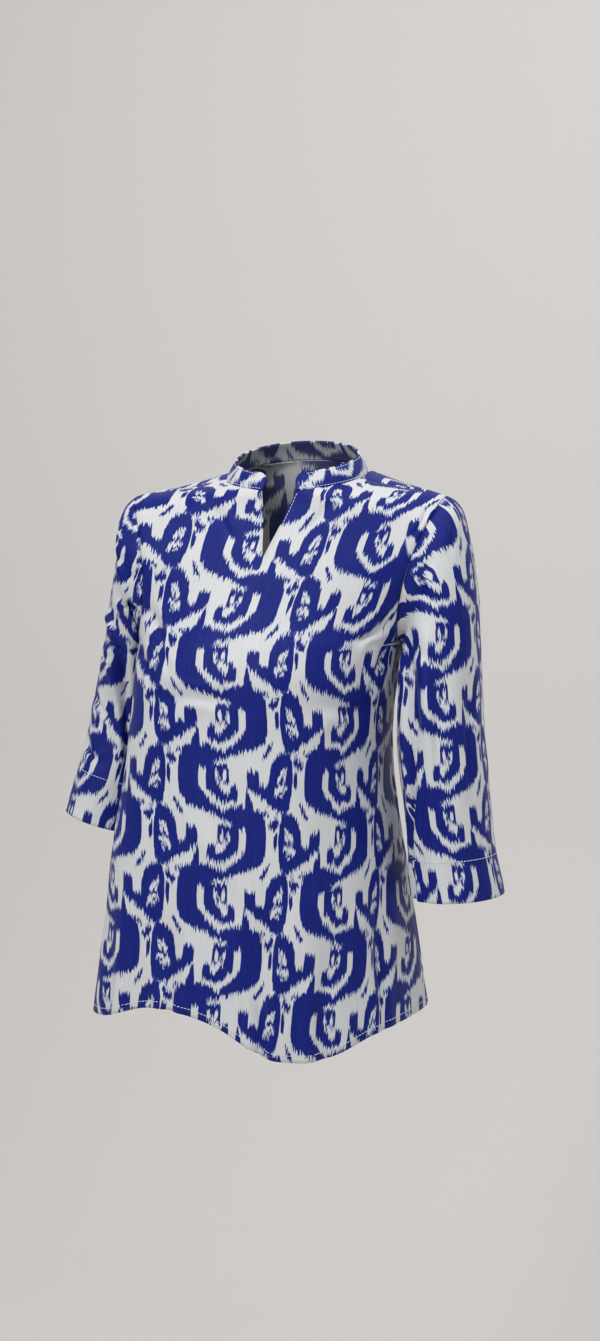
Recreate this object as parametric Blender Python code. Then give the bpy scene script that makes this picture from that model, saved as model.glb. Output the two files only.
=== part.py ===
"""Tunic top with a band collar, a neck notch and three-quarter sleeves, in metres, +Z up.

The front faces -Y and the wearer's left is +X. The origin is midway between the two points where the
collar meets the shoulder seams, which is where the garment hangs from its wearer's shoulders.
"""

from collections import namedtuple
from math import asin, cos, pi, radians, sin

import bmesh
import bpy
import numpy as np

# Driving dimensions
CLOTH_WALL = 0.0016
COLLAR_WALL = 0.0024
SEAM_GAP = 0.0004
EDGE_CLEARANCE = 0.0018  # where one wall ends against the side of another
BODY_CLEARANCE = 0.005
WELD_DISTANCE = 1e-6

LEFT_SIDE, RIGHT_SIDE = 1, -1

UNDERARM_Z = -0.192
SHOULDER_HALF = 0.180
SHOULDER_Z = -0.031
SHOULDER_SEAM_Y = -0.006
ARMHOLE_FRONT = 0.054
ARMHOLE_BACK = 0.054
ARMHOLE_HOLLOW = {LEFT_SIDE: 0.008, RIGHT_SIDE: 0.020}  # how far an armhole's front edge curves inwards

NECK_HALF = 0.079
NECK_CENTRE_X = 0.005
NECK_CENTRE_Y = 0.010
NECK_FRONT = 0.076
NECK_BACK = 0.066
NECK_FRONT_Z = -0.027
NECK_BACK_Z = 0.010

NOTCH_HALF = 0.0195
NOTCH_BOTTOM_Z = -0.100

COLLAR_FRONT_HEIGHT = 0.019
COLLAR_BACK_HEIGHT = 0.022
COLLAR_LEAN = 0.010  # how far the top edge stands in from the seam
COLLAR_CORNER = 0.009
COLLAR_SET_IN = 0.0003  # how far the collar's seam edge stands inside the neckline
COLLAR_CORNER_SHARES = (0, 0.08, 0.25, 0.5, 1)

HEM_Z = -0.606

SLEEVE_HEAD_LENGTH = 0.010  # from the armhole to the first ring of a sleeve

FIGURED_BLUE = (0.10, 0.13, 0.45)
COLLAR_BLUE = (0.30, 0.33, 0.58)
CLOTH_ROUGHNESS = 0.5

HALF_COLUMNS = 12
HEM_ROWS = 11
SLEEVE_COLUMNS = 24
SLEEVE_ROWS = 17
COLLAR_COLUMNS = 16
COLLAR_ROWS = 3

# Levels of the body, ovals about a middle, turned a little towards the wearer's left below the chest
Level = namedtuple("Level", "z centre_x centre_y half_width front_depth back_depth twist")
LEVELS = [
    Level(-0.650, -0.023, -0.042, 0.194, 0.140, 0.135, 13),
    Level(-0.510, -0.024, -0.040, 0.175, 0.132, 0.120, 14),
    Level(-0.406, -0.026, -0.038, 0.160, 0.125, 0.110, 14),
    Level(-0.345, -0.027, -0.035, 0.150, 0.121, 0.105, 13),
    Level(-0.297, -0.026, -0.032, 0.147, 0.119, 0.104, 11),
    Level(-0.250, -0.023, -0.028, 0.147, 0.119, 0.107, 7),
    Level(-0.215, -0.020, -0.025, 0.148, 0.118, 0.109, 4),
    Level(-0.192, -0.017, -0.022, 0.149, 0.113, 0.110, 2),
    Level(-0.150, -0.012, -0.018, 0.155, 0.098, 0.112, 0),
    Level(-0.100, -0.005, -0.013, 0.165, 0.080, 0.106, 0),
    Level(-0.050, 0.002, -0.010, 0.178, 0.062, 0.098, 0),
    Level(0.015, 0.005, -0.010, 0.180, 0.050, 0.086, 0),
]

# The hem's rise above its level, by degrees round from the front middle towards the wearer's left
HemPoint = namedtuple("HemPoint", "turn rise")
FRONT_HEM = [
    HemPoint(-90, -0.004),
    HemPoint(-60, 0.000),
    HemPoint(-32, 0.021),
    HemPoint(-12, 0.010),
    HemPoint(3, -0.017),
    HemPoint(15, -0.024),
    HemPoint(30, -0.020),
    HemPoint(50, -0.003),
    HemPoint(70, 0.003),
    HemPoint(90, 0.004),
]
BACK_HEM = [
    HemPoint(-90, -0.004),
    HemPoint(-50, 0.004),
    HemPoint(-12, -0.016),
    HemPoint(18, -0.019),
    HemPoint(60, 0.006),
    HemPoint(90, 0.004),
]

# Rings of a sleeve from just outside its armhole to its hem. Each ring is an oval from its outer to its
# inner point, half_deep to front and back, and lean is its rise per metre towards the back.
Ring = namedtuple("Ring", "outer_x outer_z inner_x inner_z centre_y half_deep lean")
LEFT_RINGS = [
    Ring(0.1905, -0.0375, 0.1345, -0.195, -0.009, 0.054, 0.00),
    Ring(0.2020, -0.066, 0.1345, -0.200, -0.011, 0.057, 0.00),
    Ring(0.2130, -0.118, 0.1330, -0.207, -0.014, 0.059, 0.00),
    Ring(0.2195, -0.190, 0.1310, -0.222, -0.019, 0.060, 0.00),
    Ring(0.2265, -0.290, 0.1315, -0.300, -0.026, 0.059, 0.00),
    Ring(0.2350, -0.370, 0.1425, -0.377, -0.030, 0.057, 0.00),
    Ring(0.2415, -0.418, 0.1470, -0.424, -0.031, 0.057, 0.00),
    Ring(0.2505, -0.464, 0.1500, -0.470, -0.032, 0.057, 0.00),
]
RIGHT_RINGS = [
    Ring(-0.1880, -0.0375, -0.1675, -0.195, -0.006, 0.054, 0.00),
    Ring(-0.1945, -0.066, -0.1660, -0.200, 0.000, 0.057, 0.00),
    Ring(-0.2090, -0.120, -0.1620, -0.208, 0.010, 0.059, 0.00),
    Ring(-0.2300, -0.195, -0.1520, -0.222, 0.026, 0.060, 0.00),
    Ring(-0.2520, -0.270, -0.1590, -0.287, 0.042, 0.057, 0.00),
    Ring(-0.2610, -0.322, -0.1670, -0.342, 0.036, 0.055, -0.12),
    Ring(-0.2700, -0.362, -0.1760, -0.385, 0.026, 0.054, -0.10),
    Ring(-0.2785, -0.400, -0.1850, -0.426, 0.018, 0.053, -0.05),
]


def smooth(knots, values, at):
    """Cubic curve through the values, which keeps a steady slope at each knot."""
    knots = np.asarray(knots, float)
    values = np.asarray(values, float)
    slopes = np.gradient(values, knots, axis=0)
    i = int(np.clip(np.searchsorted(knots, at) - 1, 0, len(knots) - 2))
    step = knots[i + 1] - knots[i]
    u = (at - knots[i]) / step
    rise = (3 - 2 * u) * u * u
    start = u * (1 - u) ** 2 * step
    end = u * u * (u - 1) * step
    return values[i] + (values[i + 1] - values[i]) * rise + slopes[i] * start + slopes[i + 1] * end


def body_at(z):
    """The body's measures at a height, as one Level."""
    return Level(*smooth([level.z for level in LEVELS], LEVELS, z))


def mix(a, b, share):
    """The value at a share of the way from a to b."""
    return a + (b - a) * share


def side_point(level, side):
    """The side seam at a level."""
    turn = radians(level.twist)
    return np.array([
        level.centre_x + side * level.half_width * cos(turn),
        level.centre_y + side * level.half_width * sin(turn),
        level.z,
    ])


def middle_point(level, front):
    """The middle of the front or the back at a level."""
    turn = radians(level.twist)
    out = level.front_depth if front else -level.back_depth
    return np.array([level.centre_x + out * sin(turn), level.centre_y - out * cos(turn), level.z])


def armhole(side, turn):
    """A point on an armhole: turn 0 is the shoulder, pi the underarm, and a negative turn the back."""
    low = side_point(body_at(UNDERARM_Z), side)
    down = (1 - cos(turn)) / 2
    reach = ARMHOLE_FRONT if turn > 0 else ARMHOLE_BACK
    hollow = ARMHOLE_HOLLOW[side] * sin(turn) ** 2 if turn > 0 else 0
    return np.array([
        mix(side * SHOULDER_HALF, low[0], down) - side * hollow,
        mix(SHOULDER_SEAM_Y, low[1], down) - reach * sin(turn),
        mix(SHOULDER_Z, UNDERARM_Z, down),
    ])


def neckline(side, turn):
    """A point on the collar seam: turn 0 is the front middle and pi the back middle."""
    reach = NECK_FRONT if turn < pi / 2 else NECK_BACK
    return np.array([
        NECK_CENTRE_X + side * NECK_HALF * sin(turn),
        NECK_CENTRE_Y - reach * cos(turn),
        mix(NECK_FRONT_Z, NECK_BACK_Z, sin(turn / 2) ** 2),
    ])


NECK_POINT_TURN = pi / 2 - asin((NECK_CENTRE_Y - SHOULDER_SEAM_Y) / NECK_FRONT)
NOTCH_TURN = asin(NOTCH_HALF / NECK_HALF)


def arc_row(start, end, turn, across):
    """A point on the curve from the middle line to a side, which leaves the middle square to it."""
    along = sin(across * turn) / sin(turn)
    deep = (1 - cos(across * turn)) / (1 - cos(turn))
    return np.array([
        mix(start[0], end[0], along),
        mix(start[1], end[1], deep),
        mix(start[2], end[2], along),
    ])


def hem_z(side, front, across):
    """The hem's height, by how far it is from the middle to a side seam."""
    table = FRONT_HEM if front else BACK_HEM
    turn = 90 * side * across
    return HEM_Z + float(smooth([point.turn for point in table], [point.rise for point in table], turn))


def lower_point(side, front, up, across):
    """A point between the hem, up 0, and the level of the underarm, up 1."""
    level = body_at(mix(hem_z(side, front, across), UNDERARM_Z, up))
    return arc_row(middle_point(level, front), side_point(level, side), pi / 2, across)


# Stages of a panel above the underarm: its middle edge against its armhole
Stage = namedtuple("Stage", "rows armhole_turn row_turn")
FRONT_STAGES = [
    Stage(0, radians(180), radians(90)),
    Stage(5, radians(100), radians(72)),
    Stage(5, radians(52), radians(48)),
    Stage(6, radians(0), radians(25)),
]
BACK_STAGES = [
    Stage(0, radians(180), radians(90)),
    Stage(11, radians(48), radians(60)),
    Stage(5, radians(0), radians(25)),
]


def middle_edge(side, front, stage, share):
    """A point on the inner edge of half a panel, by stage: middle line, notch, then collar seam."""
    if not front:
        if stage == 1:
            point = middle_point(body_at(mix(UNDERARM_Z, NECK_BACK_Z, share)), front)
            top = neckline(side, pi)
            return np.array([point[0], mix(point[1], top[1], share ** 3), point[2]])
        return neckline(side, mix(pi, NECK_POINT_TURN, share))
    if stage == 1:
        return middle_point(body_at(mix(UNDERARM_Z, NOTCH_BOTTOM_Z, share)), front)
    top = neckline(side, NOTCH_TURN)
    if stage == 2:
        point = middle_point(body_at(mix(NOTCH_BOTTOM_Z, top[2], share)), front)
        x = mix(middle_point(body_at(NOTCH_BOTTOM_Z), front)[0], top[0], share)
        return np.array([x, mix(point[1], top[1], share ** 3), point[2]])
    return neckline(side, mix(NOTCH_TURN, NECK_POINT_TURN, share))


def panel_rows(side, front):
    """Rows of points for half a panel, from the hem to the shoulder seam."""
    shares = np.linspace(0, 1, HALF_COLUMNS + 1)
    rows = [
        [lower_point(side, front, i / HEM_ROWS, across) for across in shares]
        for i in range(HEM_ROWS + 1)
    ]
    stages = FRONT_STAGES if front else BACK_STAGES
    for number in range(1, len(stages)):
        before, stage = stages[number - 1], stages[number]
        for i in range(1, stage.rows + 1):
            share = i / stage.rows
            turn = mix(before.armhole_turn, stage.armhole_turn, share)
            start = middle_edge(side, front, number, share)
            end = armhole(side, turn if front else -turn)
            row_turn = mix(before.row_turn, stage.row_turn, share)
            rows.append([arc_row(start, end, row_turn, across) for across in shares])
    return np.array(rows)


def set_back(edge, inner, distance):
    """Moves a row of edge points towards the row inside it."""
    towards = inner - edge
    length = np.linalg.norm(towards, axis=-1, keepdims=True)
    return edge + towards / length * distance


def grid_from(mesh, points):
    """Adds a grid of quads whose corners are the points, rows by columns, and welds edges that meet."""
    rows, columns = points.shape[:2]
    made = bmesh.ops.create_grid(mesh, x_segments=columns - 1, y_segments=rows - 1, size=1)
    for index, vertex in enumerate(made["verts"]):
        vertex.co = points[index // columns, index % columns]
    bmesh.ops.remove_doubles(mesh, verts=mesh.verts, dist=WELD_DISTANCE)


def add_piece(name, mesh, wall, colour):
    """Turns a sheet into a named piece of cloth with a wall round its middle surface."""
    bmesh.ops.recalc_face_normals(mesh, faces=mesh.faces)
    data = bpy.data.meshes.new(name)
    mesh.to_mesh(data)
    mesh.free()
    data.shade_smooth()
    piece = bpy.data.objects.new(name, data)
    bpy.context.scene.collection.objects.link(piece)
    shell = piece.modifiers.new("wall", "SOLIDIFY")
    shell.thickness = wall
    shell.offset = 0
    material = bpy.data.materials.new(name + "_cloth")
    material.use_nodes = True
    shader = material.node_tree.nodes["Principled BSDF"]
    shader.inputs["Base Color"].default_value = (*colour, 1)
    shader.inputs["Roughness"].default_value = CLOTH_ROUGHNESS
    shader.inputs["Metallic"].default_value = 0
    data.materials.append(material)


def make_panel(name, front):
    """The front or the back, as two halves joined along the middle below the neck."""
    mesh = bmesh.new()
    for side in (RIGHT_SIDE, LEFT_SIDE):
        points = panel_rows(side, front)
        points[:, -1] = set_back(points[:, -1], points[:, -2], SEAM_GAP / 2)
        points[-1] = set_back(points[-1], points[-2], SEAM_GAP / 2)
        if side == RIGHT_SIDE:
            points = points[:, ::-1]
        grid_from(mesh, points)
    add_piece(name, mesh, CLOTH_WALL, FIGURED_BLUE)


def clear_of_body(point, side):
    """Keeps a sleeve point just outside the side of the body."""
    level = body_at(point[2])
    seam = side_point(level, side)
    edge = middle_point(level, point[1] < seam[1])
    share = min((point[1] - seam[1]) / (edge[1] - seam[1]), 1)
    reach = side * mix(edge[0], seam[0], (1 - share ** 2) ** 0.5) + BODY_CLEARANCE
    room = point[0] * side - reach
    pushed = reach + (room + (room ** 2 + BODY_CLEARANCE ** 2) ** 0.5) / 2
    return np.array([side * pushed, point[1], point[2]])


def sleeve_ring(ring, turn):
    """A point on one ring of a sleeve, by the same turn as the armhole."""
    down = (1 - cos(turn)) / 2
    back = -ring.half_deep * sin(turn)
    return np.array([
        mix(ring.outer_x, ring.inner_x, down),
        ring.centre_y + back,
        mix(ring.outer_z, ring.inner_z, down) + ring.lean * back,
    ])


def sleeve_points(side, rings):
    """Rows of points round a sleeve, from its armhole to its hem."""
    steps = [0.0, SLEEVE_HEAD_LENGTH]
    for before, after in zip(rings, rings[1:]):
        outer = np.hypot(after.outer_x - before.outer_x, after.outer_z - before.outer_z)
        steps.append(steps[-1] + outer)
    columns = []
    for turn in np.linspace(-pi, pi, SLEEVE_COLUMNS + 1):
        knots = [armhole(side, turn)] + [sleeve_ring(ring, turn) for ring in rings]
        columns.append([smooth(steps, knots, at) for at in np.linspace(0, steps[-1], SLEEVE_ROWS + 1)])
    points = np.array(columns).transpose(1, 0, 2)
    for row in points[1:]:
        for column, point in enumerate(row):
            if point[2] < UNDERARM_Z:
                row[column] = clear_of_body(point, side)
    points[0] += (side * EDGE_CLEARANCE, 0, 0)
    return points


def make_sleeve(name, side, rings):
    """A sleeve as one closed tube of cloth, open at both ends."""
    mesh = bmesh.new()
    grid_from(mesh, sleeve_points(side, rings))
    add_piece(name, mesh, CLOTH_WALL, FIGURED_BLUE)


def collar_point(side, turn, up):
    """A point on the collar: up 0 is the seam and 1 the top edge."""
    base = neckline(side, turn)
    middle = np.array([NECK_CENTRE_X, NECK_CENTRE_Y, base[2]])
    inwards = (middle - base) / np.linalg.norm(middle - base)
    height = mix(COLLAR_FRONT_HEIGHT, COLLAR_BACK_HEIGHT, sin(turn / 2))
    from_end = (turn - NOTCH_TURN) * NECK_HALF
    if from_end < COLLAR_CORNER:
        height -= COLLAR_CORNER * (1 - (1 - (1 - from_end / COLLAR_CORNER) ** 2) ** 0.5)
    base = base + np.array([0, 0, EDGE_CLEARANCE]) + inwards * COLLAR_SET_IN
    return base + inwards * COLLAR_LEAN * up + np.array([0, 0, (height - EDGE_CLEARANCE) * up])


def make_collar(name):
    """The band collar, from one end round the back of the neck to the other."""
    mesh = bmesh.new()
    ends = [NOTCH_TURN + COLLAR_CORNER / NECK_HALF * share for share in COLLAR_CORNER_SHARES]
    half = ends + list(np.linspace(ends[-1], pi, COLLAR_COLUMNS + 1)[1:])
    turns = [(RIGHT_SIDE, turn) for turn in half] + [(LEFT_SIDE, turn) for turn in half[-2::-1]]
    points = np.array([
        [collar_point(side, turn, up) for side, turn in turns] for up in np.linspace(0, 1, COLLAR_ROWS + 1)
    ])
    grid_from(mesh, points)
    add_piece(name, mesh, COLLAR_WALL, COLLAR_BLUE)


def main():
    for item in list(bpy.data.objects):
        bpy.data.objects.remove(item)
    make_panel("front", True)
    make_panel("back", False)
    make_sleeve("sleeve_left", LEFT_SIDE, LEFT_RINGS)
    make_sleeve("sleeve_right", RIGHT_SIDE, RIGHT_RINGS)
    make_collar("collar")


main()
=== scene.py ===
from collections import namedtuple
from math import asin, cos, pi, radians, sin

import bmesh
import bpy
import numpy as np
from mathutils import Matrix, Vector, noise
from mathutils.bvhtree import BVHTree


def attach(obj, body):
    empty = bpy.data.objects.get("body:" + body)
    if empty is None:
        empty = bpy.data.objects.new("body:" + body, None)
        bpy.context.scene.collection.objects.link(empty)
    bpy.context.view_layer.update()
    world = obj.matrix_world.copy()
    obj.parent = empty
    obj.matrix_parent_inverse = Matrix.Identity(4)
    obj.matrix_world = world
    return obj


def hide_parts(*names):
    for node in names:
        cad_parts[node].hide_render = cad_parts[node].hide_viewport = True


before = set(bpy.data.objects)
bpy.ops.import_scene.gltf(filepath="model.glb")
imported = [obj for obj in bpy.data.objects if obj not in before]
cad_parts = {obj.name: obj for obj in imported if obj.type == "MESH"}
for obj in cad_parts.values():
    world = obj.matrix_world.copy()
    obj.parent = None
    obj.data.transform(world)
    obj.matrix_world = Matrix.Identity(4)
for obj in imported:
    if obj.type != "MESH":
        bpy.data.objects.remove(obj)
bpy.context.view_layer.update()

scene = bpy.context.scene
scene.view_settings.view_transform = "Standard"

# the cut, in metres: front at -Y, wearer's left at +X
underarmZ = -0.192
shoulderHalf = 0.180
shoulderZ = -0.031
shoulderSeamY = -0.006
armholeReach = 0.054
armholeHollow = {1: 0.008, -1: 0.020}
neckHalf = 0.079
neckCentre = (0.005, 0.010)
neckFront = 0.076
neckBack = 0.066
neckFrontZ = -0.027
neckBackZ = 0.010
notchHalf = 0.0195
notchBottomZ = -0.100
hemZ = -0.606

Level = namedtuple("Level", "z centreX centreY halfWidth frontDepth backDepth twist")
levels = [
    Level(-0.650, -0.023, -0.042, 0.194, 0.140, 0.135, 13),
    Level(-0.510, -0.024, -0.040, 0.175, 0.132, 0.120, 14),
    Level(-0.406, -0.026, -0.038, 0.160, 0.125, 0.110, 14),
    Level(-0.345, -0.027, -0.035, 0.150, 0.121, 0.105, 13),
    Level(-0.297, -0.026, -0.032, 0.147, 0.119, 0.104, 11),
    Level(-0.250, -0.023, -0.028, 0.147, 0.119, 0.107, 7),
    Level(-0.215, -0.020, -0.025, 0.148, 0.118, 0.109, 4),
    Level(-0.192, -0.017, -0.022, 0.149, 0.113, 0.110, 2),
    Level(-0.150, -0.012, -0.018, 0.155, 0.098, 0.112, 0),
    Level(-0.100, -0.005, -0.013, 0.165, 0.080, 0.106, 0),
    Level(-0.050, 0.002, -0.010, 0.178, 0.062, 0.098, 0),
    Level(0.015, 0.005, -0.010, 0.180, 0.050, 0.086, 0),
]
levelHeights = [level.z for level in levels]

# hem: degrees round from the middle, rise
frontHem = [(-90, -0.004), (-60, 0.000), (-32, 0.021), (-12, 0.010), (3, -0.017), (15, -0.024),
            (30, -0.020), (50, -0.003), (70, 0.003), (90, 0.004)]
backHem = [(-90, -0.004), (-50, 0.004), (-12, -0.016), (18, -0.019), (60, 0.006), (90, 0.004)]

Ring = namedtuple("Ring", "outerX outerZ innerX innerZ centreY halfDeep lean")
leftRings = [
    Ring(0.1905, -0.0375, 0.1345, -0.195, -0.009, 0.054, 0.00),
    Ring(0.2020, -0.066, 0.1345, -0.200, -0.011, 0.057, 0.00),
    Ring(0.2130, -0.118, 0.1330, -0.207, -0.014, 0.059, 0.00),
    Ring(0.2195, -0.190, 0.1310, -0.222, -0.019, 0.060, 0.00),
    Ring(0.2265, -0.290, 0.1315, -0.300, -0.026, 0.059, 0.00),
    Ring(0.2350, -0.370, 0.1425, -0.377, -0.030, 0.057, 0.00),
    Ring(0.2415, -0.418, 0.1470, -0.424, -0.031, 0.057, 0.00),
    Ring(0.2505, -0.464, 0.1500, -0.470, -0.032, 0.057, 0.00),
]
rightRings = [
    Ring(-0.1880, -0.0375, -0.1675, -0.195, -0.006, 0.054, 0.00),
    Ring(-0.1945, -0.066, -0.1660, -0.200, 0.000, 0.057, 0.00),
    Ring(-0.2090, -0.120, -0.1620, -0.208, 0.010, 0.059, 0.00),
    Ring(-0.2300, -0.195, -0.1520, -0.222, 0.026, 0.060, 0.00),
    Ring(-0.2520, -0.270, -0.1590, -0.287, 0.042, 0.057, 0.00),
    Ring(-0.2610, -0.322, -0.1670, -0.342, 0.036, 0.055, -0.12),
    Ring(-0.2700, -0.362, -0.1760, -0.385, 0.026, 0.054, -0.10),
    Ring(-0.2785, -0.400, -0.1850, -0.426, 0.018, 0.053, -0.05),
]


def smooth(knots, values, at):
    knots = np.asarray(knots, float)
    values = np.asarray(values, float)
    slopes = np.gradient(values, knots, axis=0)
    i = int(np.clip(np.searchsorted(knots, at) - 1, 0, len(knots) - 2))
    step = knots[i + 1] - knots[i]
    u = (at - knots[i]) / step
    rise = (3 - 2 * u) * u * u
    start = u * (1 - u) ** 2 * step
    end = u * u * (u - 1) * step
    return values[i] + (values[i + 1] - values[i]) * rise + slopes[i] * start + slopes[i + 1] * end


def bodyAt(z):
    return Level(*smooth(levelHeights, levels, z))


def mix(a, b, share):
    return a + (b - a) * share


def sidePoint(level, side):
    turn = radians(level.twist)
    reach = side * level.halfWidth
    return np.array([level.centreX + reach * cos(turn), level.centreY + reach * sin(turn), level.z])


def middlePoint(level, front):
    turn = radians(level.twist)
    out = level.frontDepth if front else -level.backDepth
    return np.array([level.centreX + out * sin(turn), level.centreY - out * cos(turn), level.z])


def armhole(side, turn):  # 0 shoulder, pi underarm, negative towards the back
    low = sidePoint(bodyAt(underarmZ), side)
    down = (1 - cos(turn)) / 2
    hollow = armholeHollow[side] * sin(turn) ** 2 if turn > 0 else 0
    return np.array([
        mix(side * shoulderHalf, low[0], down) - side * hollow,
        mix(shoulderSeamY, low[1], down) - armholeReach * sin(turn),
        mix(shoulderZ, underarmZ, down),
    ])


def neckline(side, turn):  # 0 front middle, pi back middle
    reach = neckFront if turn < pi / 2 else neckBack
    return np.array([
        neckCentre[0] + side * neckHalf * sin(turn),
        neckCentre[1] - reach * cos(turn),
        mix(neckFrontZ, neckBackZ, sin(turn / 2) ** 2),
    ])


neckPointTurn = pi / 2 - asin((neckCentre[1] - shoulderSeamY) / neckFront)
notchTurn = asin(notchHalf / neckHalf)


def arcRow(start, end, turn, across):
    along = sin(across * turn) / sin(turn)
    deep = (1 - cos(across * turn)) / (1 - cos(turn))
    return np.array([mix(start[0], end[0], along), mix(start[1], end[1], deep), mix(start[2], end[2], along)])


def hemHeight(side, front, across):
    table = frontHem if front else backHem
    return hemZ + float(smooth([p[0] for p in table], [p[1] for p in table], 90 * side * across))


def middleEdge(side, front, stage, share):
    if not front:
        if stage == 1:
            point = middlePoint(bodyAt(mix(underarmZ, neckBackZ, share)), front)
            return np.array([point[0], mix(point[1], neckline(side, pi)[1], share ** 3), point[2]])
        return neckline(side, mix(pi, neckPointTurn, share))
    if stage == 1:
        return middlePoint(bodyAt(mix(underarmZ, notchBottomZ, share)), front)
    top = neckline(side, notchTurn)
    if stage == 2:
        point = middlePoint(bodyAt(mix(notchBottomZ, top[2], share)), front)
        x = mix(middlePoint(bodyAt(notchBottomZ), front)[0], top[0], share)
        return np.array([x, mix(point[1], top[1], share ** 3), point[2]])
    return neckline(side, mix(notchTurn, neckPointTurn, share))


# rows, armhole turn, row turn for each stage above the underarm
frontStages = [(0, 180, 90), (36, 100, 72), (36, 52, 48), (40, 0, 25)]
backStages = [(0, 180, 90), (70, 48, 60), (36, 0, 25)]
halfColumns = 62
hemRows = 92


def halfPanel(side, front):
    shares = np.linspace(0, 1, halfColumns + 1)
    rows = []
    for i in range(hemRows + 1):
        row = []
        for across in shares:
            level = bodyAt(mix(hemHeight(side, front, across), underarmZ, i / hemRows))
            row.append(arcRow(middlePoint(level, front), sidePoint(level, side), pi / 2, across))
        rows.append(row)
    stages = frontStages if front else backStages
    for number in range(1, len(stages)):
        before, stage = stages[number - 1], stages[number]
        for i in range(1, stage[0] + 1):
            share = i / stage[0]
            turn = radians(mix(before[1], stage[1], share))
            rowTurn = radians(mix(before[2], stage[2], share))
            start = middleEdge(side, front, number, share)
            end = armhole(side, turn if front else -turn)
            rows.append([arcRow(start, end, rowTurn, across) for across in shares])
    return np.array(rows)


def unit(vectors):
    return vectors / np.maximum(np.linalg.norm(vectors, axis=-1, keepdims=True), 1e-9)


def gridNormals(points):
    return unit(np.cross(np.gradient(points, axis=1), np.gradient(points, axis=0)))


warpLean = 0.12
shoulderTurn = 3  # how soon the threads run on over the shoulders


# where each point lies on the flat cloth: metres across from the middle, and up from the underarm
def panelCloth(points, isFront):
    normals = gridNormals(points)
    warp = np.zeros(points.shape)
    warp[..., 1] = warpLean + (shoulderTurn if isFront else -shoulderTurn) * normals[..., 2] ** 2
    warp[..., 2] = 1
    upwards = unit(warp - normals * np.sum(warp * normals, axis=-1)[..., None])
    sideways = unit(np.cross(upwards, normals))
    sideways *= np.sign(sideways[..., :1])
    steps = np.diff(points, axis=0)
    rise = np.sum(steps * (upwards[1:] + upwards[:-1]) / 2, axis=-1)
    up = np.concatenate([np.zeros((1, points.shape[1])), np.cumsum(rise, axis=0)])
    up -= up[hemRows]
    steps = np.diff(points, axis=1)
    run = np.sum(steps * (sideways[:, 1:] + sideways[:, :-1]) / 2, axis=-1)
    across = np.concatenate([np.zeros((len(points), 1)), np.cumsum(run, axis=1)], axis=1)
    middle = points[hemRows, 0, 0]
    if isFront:  # the middle of the print follows the body, and only the neck opening leaves it
        middles = [middlePoint(level, isFront)[0] for level in levels]
        middle = np.interp(points[:, 0, 2], levelHeights, middles)
        middle[:hemRows + 1] = points[:hemRows + 1, 0, 0]
    across += (points[:, 0, 0] - middle)[:, None]
    return np.stack([across, up], axis=-1)


def sleeveCloth(points):
    steps = np.linalg.norm(np.diff(points, axis=0), axis=-1)
    down = np.concatenate([np.zeros((1, points.shape[1])), np.cumsum(steps, axis=0)])
    up = down[-1:] - down
    run = np.linalg.norm(np.diff(points, axis=1), axis=-1)
    run = np.sqrt(np.maximum(run ** 2 - np.diff(up, axis=1) ** 2, 0))
    across = np.concatenate([np.zeros((len(points), 1)), np.cumsum(run, axis=1)], axis=1)
    across -= across[:, points.shape[1] // 2][:, None]
    return np.stack([across, up], axis=-1)


# where each point of the cloth falls on the printed length, in metres
def printPlace(cloth, grain):
    across, up = cloth[..., 0], cloth[..., 1]
    near = np.clip(across, -grain["reach"], grain["reach"])
    return np.stack([
        grain["start"][0] + grain["across"] * near + grain["slant"] * up + grain["spread"] * near ** 2
        + grain["twist"] * near * up + across - near,  # true to size past the reach
        grain["start"][1] + grain["up"] * up + grain["drop"] * across,
    ], axis=-1)


def grainAt(start, across=1.0, slant=0.0, spread=0.0, twist=0.0, up=1.0, drop=0.0, reach=1.0):
    return {"start": start, "across": across, "slant": slant, "spread": spread, "twist": twist, "up": up,
            "drop": drop, "reach": reach}


def addGrid(mesh, points, cloth):
    rows, columns = points.shape[:2]
    layer = mesh.loops.layers.uv.verify()
    made = bmesh.ops.create_grid(mesh, x_segments=columns - 1, y_segments=rows - 1, size=1)
    where = {}
    for index, vertex in enumerate(made["verts"]):
        vertex.co = points[index // columns, index % columns]
        where[vertex] = cloth[index // columns, index % columns]
    for face in {face for vertex in made["verts"] for face in vertex.link_faces}:
        for loop in face.loops:
            loop[layer].uv = where[loop.vert]


Fold = namedtuple("Fold", "wide deep points")  # deep is negative for a ridge; points run along the fold
foldShape = {"fade": 0.35, "shoulder": 0.38, "shoulderAt": 1.9, "snap": 0.03}


def foldDepth(positions, fold):
    path = np.array(fold.points, float)
    lengths = np.linalg.norm(np.diff(path, axis=0), axis=1)
    starts = np.concatenate([[0], np.cumsum(lengths)[:-1]])
    nearest = np.full(len(positions), 1e9)
    along = np.zeros(len(positions))
    for start, a, b, length in zip(starts, path, path[1:], lengths):
        share = np.clip((positions - a) @ (b - a) / length ** 2, 0, 1)
        away = np.linalg.norm(positions - (a + share[:, None] * (b - a)), axis=1)
        closer = away < nearest
        nearest[closer] = away[closer]
        along[closer] = start + share[closer] * length
    along /= lengths.sum()
    fade = np.clip(np.minimum(along, 1 - along) / foldShape["fade"], 0, 1)
    fade = fade * fade * (3 - 2 * fade)
    wide = fold.wide * (0.75 + 0.35 * np.sin(7 * along + 40 * fold.wide))
    trough = np.exp(-(nearest / wide) ** 2)
    shoulders = np.exp(-((nearest - foldShape["shoulderAt"] * wide) / wide) ** 2)
    return fold.deep * fade * (foldShape["shoulder"] * shoulders - trough)


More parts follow.
